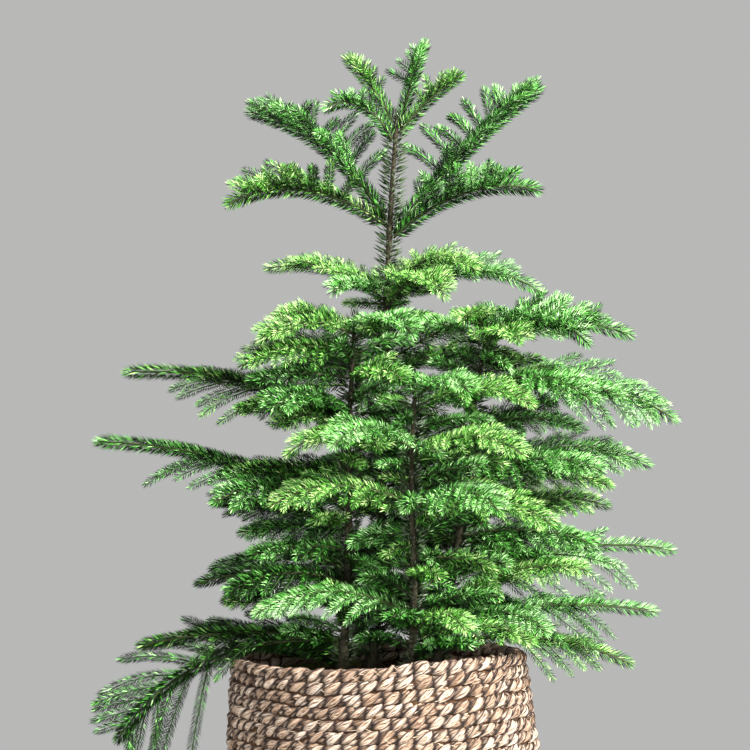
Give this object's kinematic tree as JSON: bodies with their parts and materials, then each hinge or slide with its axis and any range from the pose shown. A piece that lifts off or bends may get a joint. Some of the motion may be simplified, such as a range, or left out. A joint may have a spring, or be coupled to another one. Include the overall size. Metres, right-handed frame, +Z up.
{
  "type": "potted norfolk island pine",
  "caption": "Potted conifer with slender upright stems and tiered whorls of flat needle-covered boughs, standing in a round woven plant-fibre basket.",
  "frame": {"origin": "centre of the basket's flat underside, on the surface that it stands on", "axes": "+Z up along the main stem; +X to the right and +Y away, seen from the front"},
  "size_m": [0.5757, 0.4165, 0.9014],
  "materials": {
    "basket_strand": "dry twisted plant fibre",
    "potting_soil": "matt crumbly",
    "bark": "matt, finely ridged",
    "needles": "satin"
  },
  "bodies": {
    "root": {"basket": "basket_strand", "bough_front_1_1": "needles", "bough_front_1_2": "needles", "bough_front_2_1": "needles", "bough_front_2_2": "needles", "bough_front_2_3": "needles", "bough_front_3_1": "needles", "bough_front_3_2": "needles", "bough_front_3_3": "needles", "bough_front_4_1": "needles", "bough_left_1_1": "needles", "bough_left_1_2": "needles", "bough_left_1_3": "needles", "bough_left_2_1": "needles", "bough_left_2_2": "needles", "bough_left_3_1": "needles", "bough_left_3_2": "needles", "bough_left_4_1": "needles", "bough_left_4_2": "needles", "bough_left_5_1": "needles", "bough_left_6_1": "needles", "bough_left_6_2": "needles", "bough_left_7_1": "needles", "bough_main_1_1": "needles", "bough_main_1_2": "needles", "bough_main_1_3": "needles", "bough_main_1_4": "needles", "bough_main_2_1": "needles", "bough_main_2_2": "needles", "bough_main_2_3": "needles", "bough_main_2_4": "needles", "bough_main_3_1": "needles", "bough_main_3_2": "needles", "bough_main_3_3": "needles", "bough_main_3_4": "needles", "bough_main_4_1": "needles", "bough_main_4_2": "needles", "bough_main_5_1": "needles", "bough_main_5_2": "needles", "bough_main_6_1": "needles", "bough_main_6_2": "needles", "bough_main_6_3": "needles", "bough_right_1_1": "needles", "bough_right_1_2": "needles", "bough_right_1_3": "needles", "bough_right_2_1": "needles", "bough_right_2_2": "needles", "bough_right_3_1": "needles", "bough_right_3_2": "needles", "bough_right_4_1": "needles", "bough_right_5_1": "needles", "bough_right_5_2": "needles", "bough_right_6_1": "needles", "bough_right_6_2": "needles", "bough_right_7_1": "needles", "soil": "potting_soil", "stem_front": "bark", "stem_left": "bark", "stem_main": "bark", "stem_right": "bark"}
  },
  "joints": []
}
